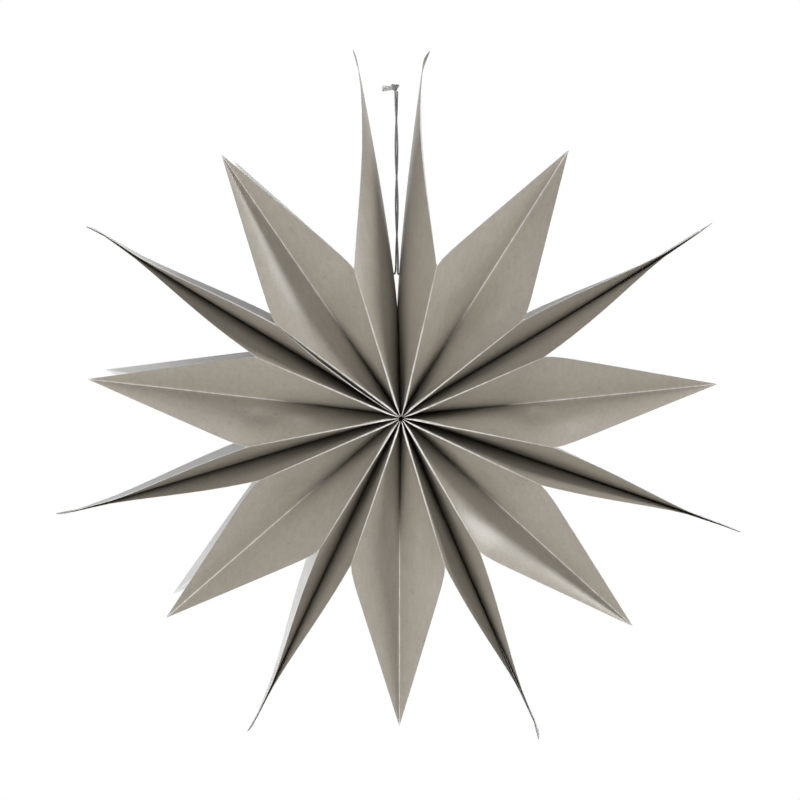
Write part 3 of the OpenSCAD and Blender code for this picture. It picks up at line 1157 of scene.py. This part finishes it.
    def fray(self, mesh: Mesh) -> None:
        """Adds the fibres of the top knot's frayed tail.

        Args:
            mesh: The knot's mesh.
        """
        draw = np.random.default_rng(self.tail_seed)
        t = np.linspace(0, 1, self.fibre_n)
        wide = self.tail_root_w + (self.tail_w - self.tail_root_w) * t ** self.tail_w_power
        thick = self.tail_t * (self.tail_root_t_share + (1 - self.tail_root_t_share) * t)
        radius = self.fibre_r * (1 - self.fibre_taper * t)[:, None] * np.ones(self.fibre_sides)
        for _ in range(self.tail_fibres):
            across, deep = draw.uniform(-0.5, 0.5, 2)
            reach = draw.uniform(*self.fibre_len_shares) * (self.tail_end_x - self.tail_root[0])
            wave = draw.normal(0, self.wave, 2)[:, None]
            wave = wave * np.sin(np.pi * t * draw.uniform(*self.wave_half_turns))
            aside = np.clip(across * wide + wave[1], -wide / 2, wide / 2)
            path = np.stack([self.tail_root[0] + reach * t, deep * thick + wave[0] * self.wave_deep_share,
                             self.tail_root[1] + aside], 1) * MM
            mesh.tube(path, radius, mark=float(draw.uniform(*self.fibre_fray_shares)))

    def top_knot(self) -> None:
        """Builds and dresses the top knot of the doubled cord, with its frayed tail."""
        mesh = Mesh()
        radius = self.strand_d / 2
        half = np.array(self.knot_half) * MM - radius
        for share, lift in zip(self.knot_round_shares, self.knot_round_lifts):
            path = np.array(self.knot_centre) * MM + self.loop(half * share) + np.array([0, lift * MM, 0])
            mesh.tube(path, self.plied(path, radius), closed=True)
        self.fray(mesh)
        self.dressed(mesh, "cord_knot")

    def build(self) -> None:
        """Builds the strands and the knots."""
        self.material = self.finish.material()
        for hand in Hand:
            self.strand(hand)
            self.stopper(hand)
        self.top_knot()


@dataclass(frozen=True)
class Lamp:
    """A square soft lamp that faces the star, by its angles round it and out of its plane."""

    name: str
    round_deg: float
    fore_deg: float
    power: float
    size: float = 1.4

    def build(self, aim: Vector, far: float) -> None:
        """Places the lamp, clockwise from straight up and towards the viewer.

        Args:
            aim: The place that it faces.
            far: Its distance from there.
        """
        data = bpy.data.lights.new(self.name, "AREA")
        data.size = self.size
        data.energy = self.power
        fore = math.radians(self.fore_deg)
        place = Vector(math.cos(fore) * out_dir(self.round_deg) - math.sin(fore) * np.array([0, 1, 0]))
        made = bpy.data.objects.new(self.name, data)
        made.location = aim + far * place
        made.rotation_euler = (-place).to_track_quat("-Z", "Y").to_euler()
        bpy.context.scene.collection.objects.link(made)


@dataclass
class Studio:
    """Camera, lamps, floor and world."""

    WHITE: ClassVar[Row] = (1, 1, 1, 1)

    hub: Triple = StarSizes.hub
    distance: float = 1.600
    azimuth_deg: float = -0.55
    elevation_deg: float = 3.1
    lens_mm: float = 85.2
    sensor_mm: float = 36.0
    clip_near: float = 0.05
    aim_aside: float = -0.25 * MM
    aim_over: float = 11.83 * MM
    world_strength: float = 0.04
    floor_z: float = -1.5
    floor_size: float = 30.0
    floor_colour: Row = (0.8, 0.8, 0.8, 1)
    lamp_far: float = 2.2
    lamps: tuple[Lamp, ...] = (
        Lamp("key", round_deg=57, fore_deg=13, power=38, size=0.6),
        Lamp("low_right", round_deg=135, fore_deg=50, power=23),
        Lamp("low_left", round_deg=225, fore_deg=50, power=40),
        Lamp("left", round_deg=270, fore_deg=40, power=16),
        Lamp("top", round_deg=0, fore_deg=45, power=17),
        Lamp("rear_left", round_deg=290, fore_deg=-25, power=14))

    def camera(self) -> None:
        """Places the camera as the photograph was taken."""
        az, el = math.radians(self.azimuth_deg), math.radians(self.elevation_deg)
        ahead = Vector((-math.sin(az) * math.cos(el), math.cos(az) * math.cos(el), -math.sin(el)))
        right = Vector((math.cos(az), math.sin(az), 0))
        up = right.cross(ahead)
        eye = Vector(self.hub) - self.distance * ahead
        aim = Vector(self.hub) + self.aim_aside * right + self.aim_over * up
        data = bpy.data.cameras.new("view")
        data.lens = self.lens_mm
        data.sensor_width = self.sensor_mm
        data.clip_start = self.clip_near
        made = bpy.data.objects.new("view", data)
        made.location = eye
        made.rotation_euler = (aim - eye).to_track_quat("-Z", "Y").to_euler()
        bpy.context.scene.collection.objects.link(made)
        bpy.context.scene.camera = made

    @staticmethod
    def seen_white(shader: Shader, plain: Value, white: Value) -> None:
        """Shows white to camera, glossy and transmission rays, and a plain shader to the rest.

        Args:
            shader: The world or material.
            plain: The plain shader.
            white: The white shader.
        """
        seen = shader.node("ShaderNodeLightPath", {}, "Is Camera Ray")
        for name in ("Is Glossy Ray", "Is Transmission Ray"):
            seen = seen.at_least(shader.node("ShaderNodeLightPath", {}, name))
        shader.finish(shader.node("ShaderNodeMixShader", {0: seen, 1: plain, 2: white}))

    def world(self) -> None:
        """Makes an even pale world that the camera sees as white."""
        made = bpy.data.worlds.new("studio")
        shader = Shader(made)
        plain = shader.node("ShaderNodeBackground", {"Color": self.WHITE, "Strength": self.world_strength})
        white = shader.node("ShaderNodeBackground", {"Color": self.WHITE})
        self.seen_white(shader, plain, white)
        bpy.context.scene.world = made

    def floor(self) -> None:
        """Lays a plain pale floor well below the star."""
        half = self.floor_size / 2
        corners = [(x * half, y * half, self.floor_z) for x, y in ((-1, -1), (1, -1), (1, 1), (-1, 1))]
        made = mesh_object("floor", np.array(corners), [(0, 1, 2, 3)])
        material = bpy.data.materials.new("pale_floor")
        shader = Shader(material)
        plain = shader.node("ShaderNodeBsdfDiffuse", {"Color": self.floor_colour})
        self.seen_white(shader, plain, shader.node("ShaderNodeEmission", {"Color": self.WHITE}))
        made.data.materials.append(material)

    def build(self) -> None:
        """Sets up the whole studio."""
        bpy.context.scene.view_settings.view_transform = "Standard"
        self.camera()
        self.world()
        self.floor()
        for lamp in self.lamps:
            lamp.build(Vector(self.hub), self.lamp_far)


def main() -> None:
    """Builds the studio, the cord and the star in order."""
    logging.basicConfig(level=logging.INFO, format="%(name)s %(message)s")
    Studio().build()
    HangingCord().build()
    Star().build()


if __name__ == "__main__":
    main()
